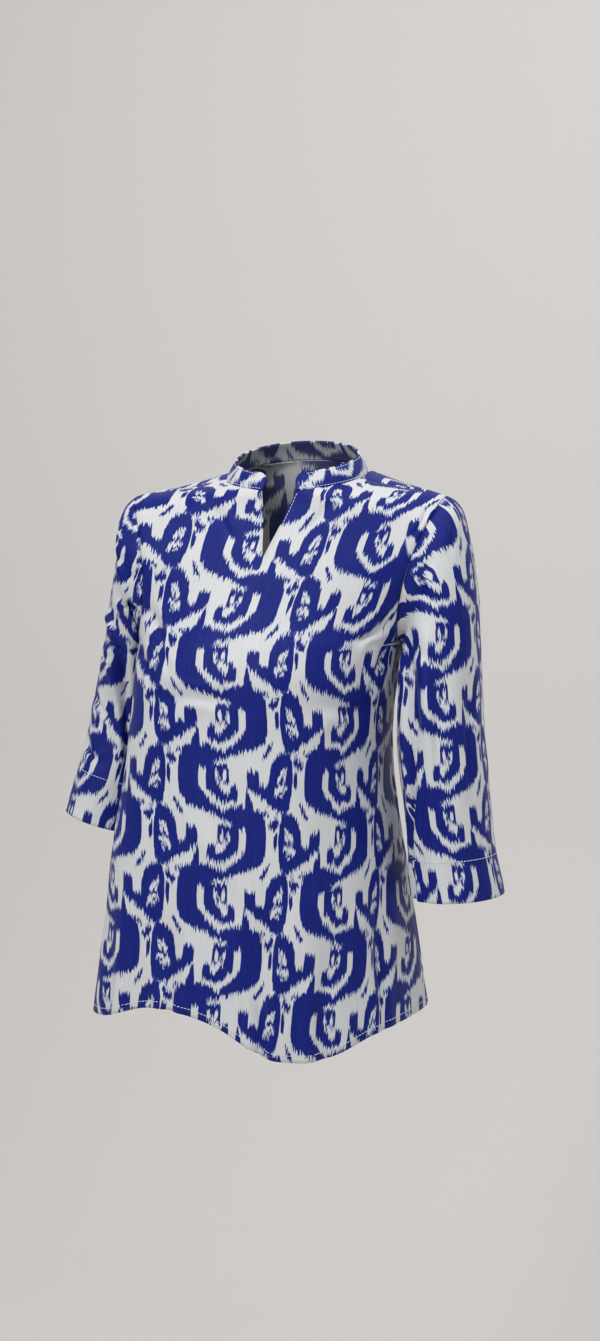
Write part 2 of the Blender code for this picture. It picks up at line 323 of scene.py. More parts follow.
def shapeCloth(mesh, look):
    mesh.verts.ensure_lookup_table()
    inner = [vertex for vertex in mesh.verts if not vertex.is_boundary]
    for _ in range(look["relax"]):
        bmesh.ops.smooth_vert(mesh, verts=inner, factor=0.5, use_axis_x=True, use_axis_y=True,
                              use_axis_z=True)
    mesh.normal_update()
    positions = np.array([vertex.co for vertex in mesh.verts])
    depth = np.zeros(len(positions))
    tree = BVHTree.FromBMesh(mesh)
    for fold in look["folds"]:
        path = []
        for point in fold.points:
            place, _, _, away = tree.find_nearest(Vector(point))
            path.append(place if away < foldShape["snap"] else point)
        depth += foldDepth(positions, fold._replace(points=path))
    for index, vertex in enumerate(mesh.verts):
        place = Vector(positions[index])
        slow = noise.noise(place * 11 + Vector((look["seed"], 0, 0)))
        quick = noise.noise(place * 38 + Vector((0, look["seed"], 0)))
        ripple = slow * look["slow"] + quick * look["quick"]
        vertex.co = place + vertex.normal * (depth[index] + ripple * look["calm"](place))


def finishCloth(name, mesh, look):
    data = bpy.data.meshes.new(name)
    mesh.to_mesh(data)
    data.uv_layers[0].name = "cloth"
    data.shade_smooth()
    piece = bpy.data.objects.new(name, data)
    scene.collection.objects.link(piece)
    data.materials.append(clothOutside)
    data.materials.append(clothInside)
    shell = piece.modifiers.new("wall", "SOLIDIFY")
    shell.thickness = look["wall"]
    shell.offset = 0
    shell.material_offset = 1
    shell.material_offset_rim = 0
    return piece


def calc(tree, operation, *values):
    node = tree.nodes.new("ShaderNodeMath")
    node.operation = operation
    for socket, value in zip(node.inputs, values):
        if isinstance(value, (int, float)):
            socket.default_value = value
        else:
            tree.links.new(value, socket)
    return node.outputs[0]


repeat = {"wide": 0.134, "tall": 0.130, "mirror": 97.4 / 134}
shapeApart = 0.16  # how far the edges of a shape stand apart beside it

# One half repeat of the figure: dyed shapes and the undyed ones cut from them, in order.
# Each line is mm across, then mm down to the top and to the bottom of the shape.
Shape = namedtuple("Shape", "dyed outline")
figure = [
    Shape(True, [(1.6, 30, 49), (2.4, 18, 58), (6, 10.2, 64), (12, 5.7, 70), (20, 3, 73), (30, 2, 75.5),
                 (40.6, 5.3, 79.6), (46.7, 7.7, 83), (47.9, 8.5, 83.6), (48.9, 8.9, 16.6), (55, 11, 15.8),
                 (61, 11.2, 12.6)]),
    Shape(False, [(22.9, 30.5, 46.7), (24, 28.4, 48.7), (26.8, 28, 53.8), (30.5, 28, 58.9), (34.5, 28, 63),
                  (38.6, 22.3, 67), (41.6, 20.3, 69.4), (47.1, 18.9, 74.7), (49.5, 17.9, 75.9)]),
    Shape(True, [(30.7, 26, 49), (32.5, 26, 52.4), (38.6, 22.7, 57.2), (41.6, 24.8, 61), (45.7, 23.5, 63.7),
                 (49.7, 22.7, 66), (53.8, 22.7, 64.6), (55, 28.4, 64), (55.6, 46, 64), (61, 45.5, 63.5),
                 (64, 47, 62.5), (65.2, 51.8, 58.9)]),
    Shape(False, [(40.2, 31.5, 37.6), (42.6, 30.5, 43.6), (45, 36.5, 46.7), (48.3, 42.6, 51.8),
                  (51.2, 44.7, 54.8), (53.6, 43.6, 56), (56.8, 47, 52.4)]),
    Shape(False, [(48.3, 33, 40.6), (50.3, 30.5, 42.6), (52.4, 31.5, 38.6)]),
    Shape(True, [(43, 34.9, 40.2), (44.7, 37.8, 43.8), (46.3, 41, 45.1)]),
    Shape(True, [(73, 57.9, 71), (74.7, 46.7, 76), (77, 52.4, 76), (79.6, 61, 76), (82.4, 69, 76)]),
    Shape(True, [(74.7, 30.5, 43.6), (75.7, 28.8, 46.7), (81.2, 28.4, 51.8), (86.9, 28.8, 55.8),
                 (87.9, 43.6, 56.8), (93.4, 45, 61.3), (98.5, 42.6, 65.4)]),
    Shape(True, [(97, 36.5, 54.8), (98.3, 26.4, 63), (101.5, 17.3, 68), (105.6, 11.2, 71.7),
                 (111.6, 8, 74), (116, 7, 73), (119.4, 10.2, 67), (121.4, 20.3, 54.8), (122.4, 30.5, 42.6)]),
    Shape(False, [(106, 36.5, 39.8), (108.4, 31.7, 41), (111.2, 28.4, 35.7), (113.7, 26, 30.5),
                  (116.5, 26, 28.8)]),
    Shape(False, [(111.7, 36.1, 40.2), (113.7, 31.7, 38.6), (115.7, 30, 34.9)]),
    Shape(False, [(103.1, 50.8, 54), (105.2, 45.9, 55.6), (108, 44.3, 52.4), (111.7, 43.4, 48.7),
                  (114.9, 43.8, 48.3), (116.9, 45.1, 47.5)]),
    Shape(False, [(108.8, 54, 56), (111.7, 52.4, 55.2), (113.7, 50.8, 53.2)]),
    Shape(True, [(122.2, 16.6, 19.1), (124.2, 14.2, 22.7), (127.1, 15.4, 25.6), (129.9, 17.5, 27.2),
                 (132.8, 19.1, 24.8), (134, 20.7, 23.1)]),
    Shape(True, [(123.4, 9.7, 11.4), (125.9, 11, 12.6), (127.9, 12.6, 13.8)]),
    Shape(True, [(123.4, 28.8, 42.6), (125.5, 28.4, 48.3), (127.5, 30.5, 46.7)]),
    Shape(True, [(129.9, 61.3, 63.3), (131.9, 62.9, 69.4), (134, 65.8, 74)]),
    Shape(True, [(0, 65.8, 74), (4.1, 73, 79.6), (7.3, 78.4, 81.2)]),
    Shape(True, [(86.1, 73.5, 73.9), (86.9, 71, 76.7), (88.1, 71, 76.7), (88.9, 74, 74.4), (90.1, 71.5, 77.2),
                 (91.4, 71.5, 77.2), (92.2, 74.4, 74.8), (93.4, 72, 77.6), (94.6, 72, 77.6), (95.4, 75, 75.4),
                 (96.6, 73, 77.8), (97.8, 73, 77.8), (98.7, 75.2, 75.6)]),
]


def edgeCurve(tree, across, outline, column, apart):
    node = tree.nodes.new("ShaderNodeFloatCurve")
    tree.links.new(across, node.inputs["Value"])
    curve = node.mapping.curves[0]
    points = [(line[0] / 1000 / repeat["wide"], line[column] / 1000 / repeat["tall"]) for line in outline]
    first, last = points[0], points[-1]
    whole = [(0, first[1] + apart), (first[0] - 0.004, first[1] + apart)] if first[0] > 0.004 else []
    whole += points
    whole += [(last[0] + 0.004, last[1] + apart), (1, last[1] + apart)] if last[0] < 0.996 else []
    curve.points[0].location = whole[0]
    curve.points[-1].location = whole[-1]
    for point in whole[1:-1]:
        curve.points.new(*point)
    for point in curve.points:
        point.handle_type = "VECTOR"
    node.mapping.update()
    return node.outputs[0]


def figureGroup():
    tree = bpy.data.node_groups.new("figure_half", "ShaderNodeTree")
    tree.interface.new_socket("across", in_out="INPUT", socket_type="NodeSocketFloat")
    tree.interface.new_socket("down", in_out="INPUT", socket_type="NodeSocketFloat")
    tree.interface.new_socket("dyed", in_out="OUTPUT", socket_type="NodeSocketFloat")
    source = tree.nodes.new("NodeGroupInput")
    result = tree.nodes.new("NodeGroupOutput")
    across, down = source.outputs["across"], source.outputs["down"]
    total = None
    for shape in figure:
        top = edgeCurve(tree, across, shape.outline, 1, shapeApart)
        bottom = edgeCurve(tree, across, shape.outline, 2, -shapeApart)
        under, over = calc(tree, "SUBTRACT", down, top), calc(tree, "SUBTRACT", bottom, down)
        inside = calc(tree, "MINIMUM", under, over)
        if total is None:
            total = inside
        elif shape.dyed:
            total = calc(tree, "MAXIMUM", total, inside)
        else:
            total = calc(tree, "MINIMUM", total, calc(tree, "MULTIPLY", inside, -1))
    tree.links.new(total, result.inputs["dyed"])
    return tree


def noiseAt(tree, across, up, wide, tall, detail=1.0):
    place = tree.nodes.new("ShaderNodeCombineXYZ")
    tree.links.new(calc(tree, "MULTIPLY", across, 1 / wide), place.inputs[0])
    tree.links.new(calc(tree, "MULTIPLY", up, 1 / tall), place.inputs[1])
    node = tree.nodes.new("ShaderNodeTexNoise")
    node.noise_dimensions = "2D"
    node.inputs["Scale"].default_value = 1
    node.inputs["Detail"].default_value = detail
    tree.links.new(place.outputs[0], node.inputs["Vector"])
    return node.outputs[0]


def spread(tree, value, low, high, toLow=0.0, toHigh=1.0, softly=True):
    node = tree.nodes.new("ShaderNodeMapRange")
    node.interpolation_type = "SMOOTHSTEP" if softly else "LINEAR"
    tree.links.new(value, node.inputs["Value"])
    for name, number in zip(("From Min", "From Max", "To Min", "To Max"), (low, high, toLow, toHigh)):
        node.inputs[name].default_value = number
    return node.outputs[0]


def blend(tree, factor, a, b):
    node = tree.nodes.new("ShaderNodeMix")
    node.data_type = "RGBA"
    if isinstance(factor, float):
        node.inputs[0].default_value = factor
    else:
        tree.links.new(factor, node.inputs[0])
    for socket, value in ((node.inputs[6], a), (node.inputs[7], b)):
        if isinstance(value, tuple):
            socket.default_value = (*value, 1)
        else:
            tree.links.new(value, socket)
    return node.outputs[2]


figureHalf = figureGroup()


def clothMaterial(name, look):
    material = bpy.data.materials.new(name)
    material.use_nodes = True
    tree = material.node_tree
    shader = tree.nodes["Principled BSDF"]
    cloth = tree.nodes.new("ShaderNodeUVMap")
    cloth.uv_map = "cloth"
    parts = tree.nodes.new("ShaderNodeSeparateXYZ")
    tree.links.new(cloth.outputs[0], parts.inputs[0])
    across, up = parts.outputs[0], parts.outputs[1]

    # dyed threads slip up and down a little, so the ends of the shapes are feathered
    slip = calc(tree, "SUBTRACT", noiseAt(tree, across, up, look["tooth"], look["toothLong"], 2.0), 0.5)
    slip = calc(tree, "MULTIPLY", slip, look["slip"] / repeat["tall"])
    sway = calc(tree, "SUBTRACT", noiseAt(tree, across, up, 0.02, 0.011), 0.5)
    sway = calc(tree, "MULTIPLY", sway, look["sway"] / repeat["wide"])
    acrossShare = calc(tree, "MULTIPLY", across, 1 / repeat["wide"])
    acrossShare = calc(tree, "ADD", acrossShare, sway)
    downShare = calc(tree, "MULTIPLY", up, -1 / repeat["tall"])
    downShare = calc(tree, "ADD", downShare, slip)
    half = calc(tree, "FLOOR", calc(tree, "MULTIPLY", downShare, 2))
    local = calc(tree, "SUBTRACT", downShare, calc(tree, "MULTIPLY", half, 0.5))
    turned = calc(tree, "FLOORED_MODULO", half, 2)
    plain = acrossShare
    mirrored = calc(tree, "SUBTRACT", repeat["mirror"], acrossShare)
    swing = calc(tree, "SUBTRACT", mirrored, plain)
    here = calc(tree, "FRACT", calc(tree, "MULTIPLY_ADD", swing, turned, plain))
    above = calc(tree, "FRACT", calc(tree, "SUBTRACT", mirrored, calc(tree, "MULTIPLY", swing, turned)))
    parts = []
    for place, down in ((here, local), (above, calc(tree, "ADD", local, 0.5))):
        group = tree.nodes.new("ShaderNodeGroup")
        group.node_tree = figureHalf
        tree.links.new(place, group.inputs["across"])
        tree.links.new(down, group.inputs["down"])
        parts.append(group.outputs["dyed"])
    dyed = calc(tree, "MAXIMUM", *parts)

    edge = look["edge"] / repeat["tall"]
    pale = spread(tree, dyed, -1.4 * edge, 0.3 * edge)
    full = spread(tree, dyed, -0.5 * edge, 1.2 * edge)
    streak = noiseAt(tree, across, up, 0.0009, 0.03, 2.0)
    blue = blend(tree, spread(tree, streak, 0.3, 0.7), look["blue"], look["deepBlue"])
    ground = blend(tree, spread(tree, streak, 0.25, 0.75), look["ivory"], look["shadeIvory"])
    colour = blend(tree, calc(tree, "MULTIPLY", pale, look["fringe"]), ground, look["paleBlue"])
    colour = blend(tree, full, colour, blue)
    tree.links.new(colour, shader.inputs["Base Color"])

    # plain weave: fine ribs both ways, with slubs
    warp = calc(tree, "SINE", calc(tree, "MULTIPLY", across, 2 * pi / look["thread"]))
    weft = calc(tree, "SINE", calc(tree, "MULTIPLY", up, 2 * pi / look["thread"]))
    weave = calc(tree, "MULTIPLY", warp, weft)
    slubs = noiseAt(tree, across, up, 0.004, 0.0007, 2.0)
    height = calc(tree, "MULTIPLY_ADD", slubs, 1.6, weave)
    bump = tree.nodes.new("ShaderNodeBump")
    bump.inputs["Strength"].default_value = look["bump"]
    bump.inputs["Distance"].default_value = 0.00012
    tree.links.new(height, bump.inputs["Height"])
    tree.links.new(bump.outputs[0], shader.inputs["Normal"])
    rough = spread(tree, slubs, 0.3, 0.7, look["rough"] - 0.05, look["rough"] + 0.05)
    tree.links.new(rough, shader.inputs["Roughness"])
    shader.inputs["Sheen Weight"].default_value = look["sheen"]
    shader.inputs["Sheen Roughness"].default_value = 0.45
    shader.inputs["Specular IOR Level"].default_value = look["shine"]
    return material


rightSide = {
    "slip": 0.0185, "tooth": 0.0014, "toothLong": 0.03, "sway": 0.0006, "edge": 0.0009,
    "blue": (0.007, 0.019, 0.240), "deepBlue": (0.004, 0.012, 0.175), "paleBlue": (0.18, 0.30, 0.64),
    "ivory": (0.76, 0.77, 0.775), "shadeIvory": (0.70, 0.71, 0.72),
    "thread": 0.00075, "bump": 0.35, "rough": 0.44, "sheen": 0.01, "shine": 0.18, "fringe": 0.8,
}
wrongSide = {
    **rightSide, "edge": 0.0022, "blue": (0.05, 0.06, 0.17), "deepBlue": (0.04, 0.05, 0.14),
    "paleBlue": (0.28, 0.33, 0.46), "ivory": (0.55, 0.555, 0.56), "shadeIvory": (0.50, 0.505, 0.51),
    "rough": 0.62, "shine": 0.25,
}


clothOutside = clothMaterial("figured_cloth_outside", rightSide)
clothInside = clothMaterial("figured_cloth_inside", wrongSide)


# stills the ripples of the cloth outside the heights low to high
def calmBand(low, high):
    return lambda place: min(max((place.z - low) / 0.03, 0.25), max((high - place.z) / 0.03, 0.25), 1)


seamTuck = {"wide": 0.0032, "deep": 0.0014, "ridge": 0.25, "ridgeAt": 0.007, "ridgeWide": 0.004}


# rounds the cloth in at its seams; edges are the slices of the grid that are sewn
def tuckEdges(points, edges, outwards):
    normals = gridNormals(points) * outwards
    away = np.full(points.shape[:2], 1.0)
    for axis, index in edges:
        line = np.take(points, [index], axis=axis)
        away = np.minimum(away, np.linalg.norm(points - line, axis=-1))
    trough = np.exp(-(away / seamTuck["wide"]) ** 2)
    ridge = np.exp(-((away - seamTuck["ridgeAt"]) / seamTuck["ridgeWide"]) ** 2)
    drop = seamTuck["deep"] * (trough - seamTuck["ridge"] * ridge)
    return points - normals * drop[..., None]


front = {
    "wall": 0.0016, "relax": 14, "seed": 3, "slow": 0.0016, "quick": 0.0005,
    "grain": grainAt((0.070, -0.0242), 0.907, -0.055, 0.83, -0.31, 1.016, 0.0145, 0.165),
    "calm": calmBand(-0.70, 0.05), "flat": (0.52, 0.63), "area": 0.262,
    "folds": [
        Fold(0.004, -0.0022, [(0.176, -0.030, -0.040), (0.166, -0.047, -0.057), (0.156, -0.058, -0.079)]),
        Fold(0.004, 0.0018, [(0.171, -0.034, -0.041), (0.160, -0.050, -0.061), (0.150, -0.058, -0.081)]),
        Fold(0.008, 0.0044, [(0.134, -0.062, -0.156), (0.115, -0.075, -0.178), (0.094, -0.096, -0.191)]),
        Fold(0.009, 0.0040, [(0.130, -0.043, -0.188), (0.116, -0.064, -0.218), (0.105, -0.077, -0.257)]),
        Fold(0.008, 0.0046, [(-0.152, -0.070, -0.145), (-0.122, -0.096, -0.179), (-0.091, -0.131, -0.238)]),
        Fold(0.007, 0.0036, [(-0.159, -0.058, -0.193), (-0.135, -0.101, -0.218), (-0.112, -0.125, -0.275)]),
        Fold(0.013, 0.0046, [(-0.128, -0.114, -0.257), (-0.074, -0.137, -0.246), (-0.014, -0.147, -0.249)]),
        Fold(0.015, 0.0026, [(0.035, -0.140, -0.259), (0.076, -0.115, -0.255), (0.109, -0.066, -0.270)]),
        Fold(0.015, 0.0065, [(0.020, -0.163, -0.430), (0.015, -0.170, -0.543), (0.018, -0.180, -0.720)]),
        Fold(0.018, -0.005, [(0.055, -0.152, -0.440), (0.064, -0.156, -0.543), (0.068, -0.165, -0.720)]),
        Fold(0.014, 0.0055, [(-0.090, -0.153, -0.467), (-0.092, -0.159, -0.543), (-0.083, -0.170, -0.700)]),
        Fold(0.016, -0.0045, [(-0.149, -0.130, -0.452), (-0.154, -0.136, -0.541), (-0.172, -0.140, -0.700)]),
        Fold(0.014, 0.004, [(0.115, -0.079, -0.426), (0.125, -0.087, -0.512), (0.130, -0.105, -0.700)]),
        Fold(0.016, 0.0028, [(-0.041, -0.149, -0.334), (-0.031, -0.158, -0.408), (-0.025, -0.165, -0.492)]),
        Fold(0.010, 0.0022, [(-0.082, -0.058, -0.036), (-0.059, -0.069, -0.058), (-0.038, -0.085, -0.088)]),
        Fold(0.010, 0.002, [(0.077, -0.056, -0.031), (0.055, -0.067, -0.052), (0.033, -0.080, -0.079)]),
    ],
}
back = {
    "wall": 0.0016, "relax": 14, "seed": 8, "slow": 0.0018, "quick": 0.0005,
    "grain": grainAt((0.031, -0.024)),
    "calm": calmBand(-0.70, 0.05), "flat": (0.52, 0.65), "area": 0.29,
    "folds": [
        Fold(0.014, 0.005, [(-0.080, 0.068, -0.280), (-0.083, 0.070, -0.450), (-0.080, 0.095, -0.720)]),
        Fold(0.017, 0.006, [(0.030, 0.063, -0.330), (0.034, 0.071, -0.470), (0.026, 0.100, -0.740)]),
        Fold(0.016, -0.0045, [(0.080, 0.045, -0.400), (0.086, 0.060, -0.540), (0.090, 0.080, -0.720)]),
        Fold(0.015, -0.004, [(-0.030, 0.072, -0.420), (-0.026, 0.082, -0.540), (-0.028, 0.105, -0.720)]),
        Fold(0.009, 0.0032, [(0.125, 0.008, -0.170), (0.070, 0.066, -0.215), (0.020, 0.079, -0.255)]),
        Fold(0.008, 0.0034, [(-0.155, 0.010, -0.170), (-0.100, 0.068, -0.215), (-0.050, 0.079, -0.250)]),
        Fold(0.008, 0.0026, [(0.132, 0.004, -0.205), (0.095, 0.050, -0.260), (0.070, 0.058, -0.320)]),
        Fold(0.014, 0.0026, [(-0.070, 0.083, -0.085), (0.000, 0.093, -0.100), (0.070, 0.081, -0.085)]),
    ],
}


def makePanel(name, isFront, look):
    mesh = bmesh.new()
    for side in (-1, 1):
        points = halfPanel(side, isFront)
        cloth = printPlace(panelCloth(points, isFront), look["grain"])
        outwards = 1 if (side == 1) == isFront else -1
        points = tuckEdges(points, [(1, -1), (0, -1)], outwards)
        addGrid(mesh, points, cloth)
    bmesh.ops.remove_doubles(mesh, verts=mesh.verts, dist=2e-5)
    bmesh.ops.recalc_face_normals(mesh, faces=mesh.faces)
    shapeCloth(mesh, look)
    piece = finishCloth(name + "_cloth", mesh, look)
    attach(piece, "root")
    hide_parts(name)
    return piece, mesh


frontPiece, frontMesh = makePanel("front", True, front)
backPiece, backMesh = makePanel("back", False, back)
print("panels made")

sleeveLeft = {
    "wall": 0.0016, "relax": 10, "seed": 5, "slow": 0.0016, "quick": 0.0006,
    "grain": grainAt((0.1272, 0.0), -1.15),
    "calm": calmBand(-0.60, 0.05), "flat": (0.37, 0.45), "area": 0.135,
    "folds": [
        Fold(0.010, 0.0090, [(0.144, -0.063, -0.133), (0.148, -0.056, -0.171), (0.152, -0.068, -0.212),
                             (0.159, -0.077, -0.272), (0.160, -0.078, -0.347), (0.155, -0.066, -0.428),
                             (0.158, -0.063, -0.540)]),
        Fold(0.010, -0.0035, [(0.168, -0.069, -0.143), (0.175, -0.080, -0.228), (0.180, -0.086, -0.313),
                              (0.180, -0.085, -0.400)]),
        Fold(0.007, 0.003, [(0.154, -0.062, -0.128), (0.177, -0.070, -0.143), (0.200, -0.061, -0.149)]),
        Fold(0.008, 0.0026, [(0.154, -0.066, -0.186), (0.179, -0.078, -0.209), (0.200, -0.071, -0.219)]),
        Fold(0.010, 0.0028, [(0.215, -0.049, -0.208), (0.216, -0.062, -0.293), (0.224, -0.067, -0.378)]),
        Fold(0.006, 0.0022, [(0.184, -0.032, -0.045), (0.193, -0.044, -0.069), (0.193, -0.055, -0.100)]),
        Fold(0.009, 0.0024, [(0.202, -0.086, -0.400), (0.205, -0.087, -0.441), (0.209, -0.088, -0.520)]),
        Fold(0.010, 0.004, [(0.190, 0.036, -0.160), (0.195, 0.032, -0.260), (0.200, 0.026, -0.380)]),
        Fold(0.007, 0.0032, [(0.165, 0.026, -0.290), (0.200, 0.034, -0.300), (0.225, 0.012, -0.300)]),
        Fold(0.008, 0.0026, [(0.170, 0.024, -0.330), (0.205, 0.028, -0.345), (0.231, 0.008, -0.340)]),
    ],
}
sleeveRight = {
    "wall": 0.0016, "relax": 10, "seed": 6, "slow": 0.0016, "quick": 0.0006,
    "grain": grainAt((0.0, -0.0419), 1.1),
    "calm": calmBand(-0.60, 0.05), "flat": (0.36, 0.41), "area": 0.12,
    "folds": [
        Fold(0.0070, 0.0105, [(-0.204, -0.033, -0.172), (-0.197, -0.033, -0.207), (-0.197, -0.019, -0.255),
                              (-0.196, -0.013, -0.301), (-0.194, -0.014, -0.342), (-0.192, -0.014, -0.372)]),
        Fold(0.008, -0.0060, [(-0.212, -0.019, -0.161), (-0.204, -0.033, -0.178), (-0.199, -0.034, -0.195)]),
        Fold(0.006, 0.0060, [(-0.220, -0.010, -0.190), (-0.197, -0.033, -0.205), (-0.178, -0.031, -0.213)]),
        Fold(0.006, 0.0050, [(-0.230, 0.002, -0.209), (-0.207, -0.024, -0.228), (-0.193, -0.024, -0.239)]),
        Fold(0.007, 0.0052, [(-0.194, -0.046, -0.132), (-0.176, -0.051, -0.155), (-0.156, -0.063, -0.162)]),
        Fold(0.007, 0.0045, [(-0.190, -0.050, -0.094), (-0.171, -0.063, -0.117), (-0.155, -0.068, -0.126)]),
        Fold(0.008, 0.0042, [(-0.246, 0.016, -0.254), (-0.224, -0.010, -0.281), (-0.202, -0.015, -0.294)]),
        Fold(0.008, 0.0036, [(-0.256, 0.014, -0.311), (-0.238, -0.014, -0.332), (-0.218, -0.022, -0.344)]),
        Fold(0.010, 0.004, [(-0.190, 0.088, -0.170), (-0.205, 0.098, -0.260), (-0.225, 0.080, -0.370)]),
        Fold(0.007, 0.0034, [(-0.240, 0.085, -0.290), (-0.205, 0.098, -0.285), (-0.172, 0.080, -0.290)]),
        Fold(0.008, 0.0026, [(-0.235, 0.080, -0.240), (-0.200, 0.088, -0.235), (-0.170, 0.075, -0.245)]),
    ],
}
sleeveColumns = 104
sleeveRows = 120
bodyClearance = 0.004


def clearOfBody(point, side):
    level = bodyAt(point[2])
    seam = sidePoint(level, side)
    edge = middlePoint(level, point[1] < seam[1])
    share = min((point[1] - seam[1]) / (edge[1] - seam[1]), 1)
    reach = side * mix(edge[0], seam[0], (1 - share ** 2) ** 0.5) + bodyClearance
    room = point[0] * side - reach
    pushed = reach + (room + (room ** 2 + bodyClearance ** 2) ** 0.5) / 2
    return np.array([side * pushed, point[1], point[2]])


def ringPoint(ring, turn):
    down = (1 - cos(turn)) / 2
    behind = -ring.halfDeep * sin(turn)
    return np.array([
        mix(ring.outerX, ring.innerX, down),
        ring.centreY + behind,
        mix(ring.outerZ, ring.innerZ, down) + ring.lean * behind,
    ])


def sleevePoints(side, rings):
    steps = [0.0, 0.010]
    for before, after in zip(rings, rings[1:]):
        steps.append(steps[-1] + np.hypot(after.outerX - before.outerX, after.outerZ - before.outerZ))
    columns = []
    for turn in np.linspace(-pi, pi, sleeveColumns + 1):
        knots = [armhole(side, turn)] + [ringPoint(ring, turn) for ring in rings]
        columns.append([smooth(steps, knots, at) for at in np.linspace(0, steps[-1], sleeveRows + 1)])
    points = np.array(columns).transpose(1, 0, 2)
    for row in points[1:]:
        for column, point in enumerate(row):
            if point[2] < underarmZ:
                row[column] = clearOfBody(point, side)
    points[0] += (side * 0.0008, 0, 0)
    return points


def makeSleeve(name, side, rings, look):
    mesh = bmesh.new()
    points = sleevePoints(side, rings)
    cloth = printPlace(sleeveCloth(points), look["grain"])
    addGrid(mesh, tuckEdges(points, [(0, 0)], side), cloth)
    bmesh.ops.remove_doubles(mesh, verts=mesh.verts, dist=2e-5)
    bmesh.ops.recalc_face_normals(mesh, faces=mesh.faces)
    shapeCloth(mesh, look)
    piece = finishCloth(name + "_cloth", mesh, look)
    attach(piece, "root")
    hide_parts(name)
    return piece, mesh


leftPiece, leftMesh = makeSleeve("sleeve_left", 1, leftRings, sleeveLeft)
rightPiece, rightMesh = makeSleeve("sleeve_right", -1, rightRings, sleeveRight)
print("sleeves made")

collar = {
    "wall": 0.0022, "frontHigh": 0.019, "backHigh": 0.022, "lean": 0.010, "corner": 0.009,
    "columns": 90, "rows": 10, "grain": grainAt((0.03, 0.05)), "flat": (0.49, 0.024), "area": 0.0108,
}


def collarPoint(side, turn, up, look):
    base = neckline(side, turn)
    inwards = unit(np.array([neckCentre[0], neckCentre[1], base[2]]) - base)
    high = mix(look["frontHigh"], look["backHigh"], sin(turn / 2))
    fromEnd = (turn - notchTurn) * neckHalf
    if fromEnd < look["corner"]:
        high -= look["corner"] * (1 - (1 - (1 - fromEnd / look["corner"]) ** 2) ** 0.5)
    bulge = 0.0012 * sin(pi * up)
    base = base + np.array([0, 0, 0.0006])
    return base + inwards * (look["lean"] * up - bulge) + np.array([0, 0, (high - 0.0006) * up])


def makeCollar(look):
    ends = notchTurn + look["corner"] / neckHalf * np.array([0, 0.04, 0.1, 0.2, 0.35, 0.55, 0.8, 1])
    half = list(ends) + list(np.linspace(ends[-1], pi, look["columns"] + 1)[1:])
    turns = [(-1, turn) for turn in half] + [(1, turn) for turn in half[-2::-1]]
    ups = np.linspace(0, 1, look["rows"] + 1)
    points = np.array([[collarPoint(side, turn, up, look) for side, turn in turns] for up in ups])
    along = np.concatenate([[0], np.cumsum(np.linalg.norm(np.diff(points[0], axis=0), axis=1))])
    along = along - along[len(along) // 2]
    rise = np.concatenate([np.zeros((1, len(turns))), np.cumsum(np.linalg.norm(np.diff(
        points, axis=0), axis=-1), axis=0)])
    cloth = printPlace(np.stack([np.broadcast_to(along, rise.shape), rise], axis=-1), look["grain"])
    mesh = bmesh.new()
    addGrid(mesh, points, cloth)
    bmesh.ops.recalc_face_normals(mesh, faces=mesh.faces)
    middle = min(mesh.faces, key=lambda face: face.calc_center_median().y)
    if middle.normal.y > 0:
        bmesh.ops.reverse_faces(mesh, faces=mesh.faces)
    piece = finishCloth("collar_cloth", mesh, look)
    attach(piece, "root")
    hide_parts("collar")
    return piece, mesh


collarPiece, collarMesh = makeCollar(collar)
print("collar made")

stitch = {"long": 0.0034, "pitch": 0.0040, "thick": 0.00090, "lift": 0.0011, "reach": 0.012,
          "hemUp": 0.0075, "leftCuffUp": 0.045, "rightCuffUp": 0.055, "collarLow": 0.12, "collarHigh": 0.90}


def resample(path, pitch):
    path = np.array(path)
    along = np.concatenate([[0], np.cumsum(np.linalg.norm(np.diff(path, axis=0), axis=1))])
    marks = np.arange(pitch / 2, along[-1], pitch)
    return np.stack([np.interp(marks, along, path[:, axis]) for axis in range(3)], axis=-1)


def addStitches(mesh, path, cloth):
    tree = BVHTree.FromBMesh(cloth)
    marks = resample(path, stitch["pitch"])
    befores, afters = np.vstack([marks[:1], marks[:-1]]), np.vstack([marks[1:], marks[-1:]])
    for before, mark, after in zip(befores, marks, afters):
        place, normal, _, away = tree.find_nearest(Vector(mark))
        if place is None or away > stitch["reach"]:
            continue
        run = Vector(after - before).normalized()
        run = (run - normal * run.dot(normal)).normalized()
        frameOf = Matrix((run, normal.cross(run), normal)).transposed().to_4x4()
        size = Matrix.Diagonal((stitch["long"] / 2, stitch["thick"] / 2, stitch["thick"] / 2, 1))
        where = Matrix.Translation(place + normal * stitch["lift"]) @ frameOf @ size
        bmesh.ops.create_uvsphere(mesh, u_segments=6, v_segments=5, radius=1, matrix=where @ Matrix.Rotation(
            pi / 2, 4, "Y"))


def panelHemPath(isFront, up):
    path = []
    for side, shares in ((-1, np.linspace(1, 0, 40)), (1, np.linspace(0, 1, 40))):
        for across in shares:
            level = bodyAt(hemHeight(side, isFront, across) + up)
            path.append(arcRow(middlePoint(level, isFront), sidePoint(level, side), pi / 2, across))
    return path


def sleeveHemPath(side, rings, up):
    points = sleevePoints(side, rings)
    cloth = sleeveCloth(points)
    path = []
    for column in range(points.shape[1]):
        heights = cloth[::-1, column, 1]
        path.append([np.interp(up, heights, points[::-1, column, axis]) for axis in range(3)])
    return path


def collarPath(up, inset):
    turns = np.linspace(notchTurn + inset, pi, 80)
    right = [collarPoint(-1, turn, up, collar) for turn in turns]
    left = [collarPoint(1, turn, up, collar) for turn in turns[::-1]]
    return right + left


def notchPath(side):
    shares = np.linspace(0.03, 0.99, 24)
    return [middleEdge(side, True, 2, share) + np.array([side * 0.0022, 0, 0]) for share in shares]


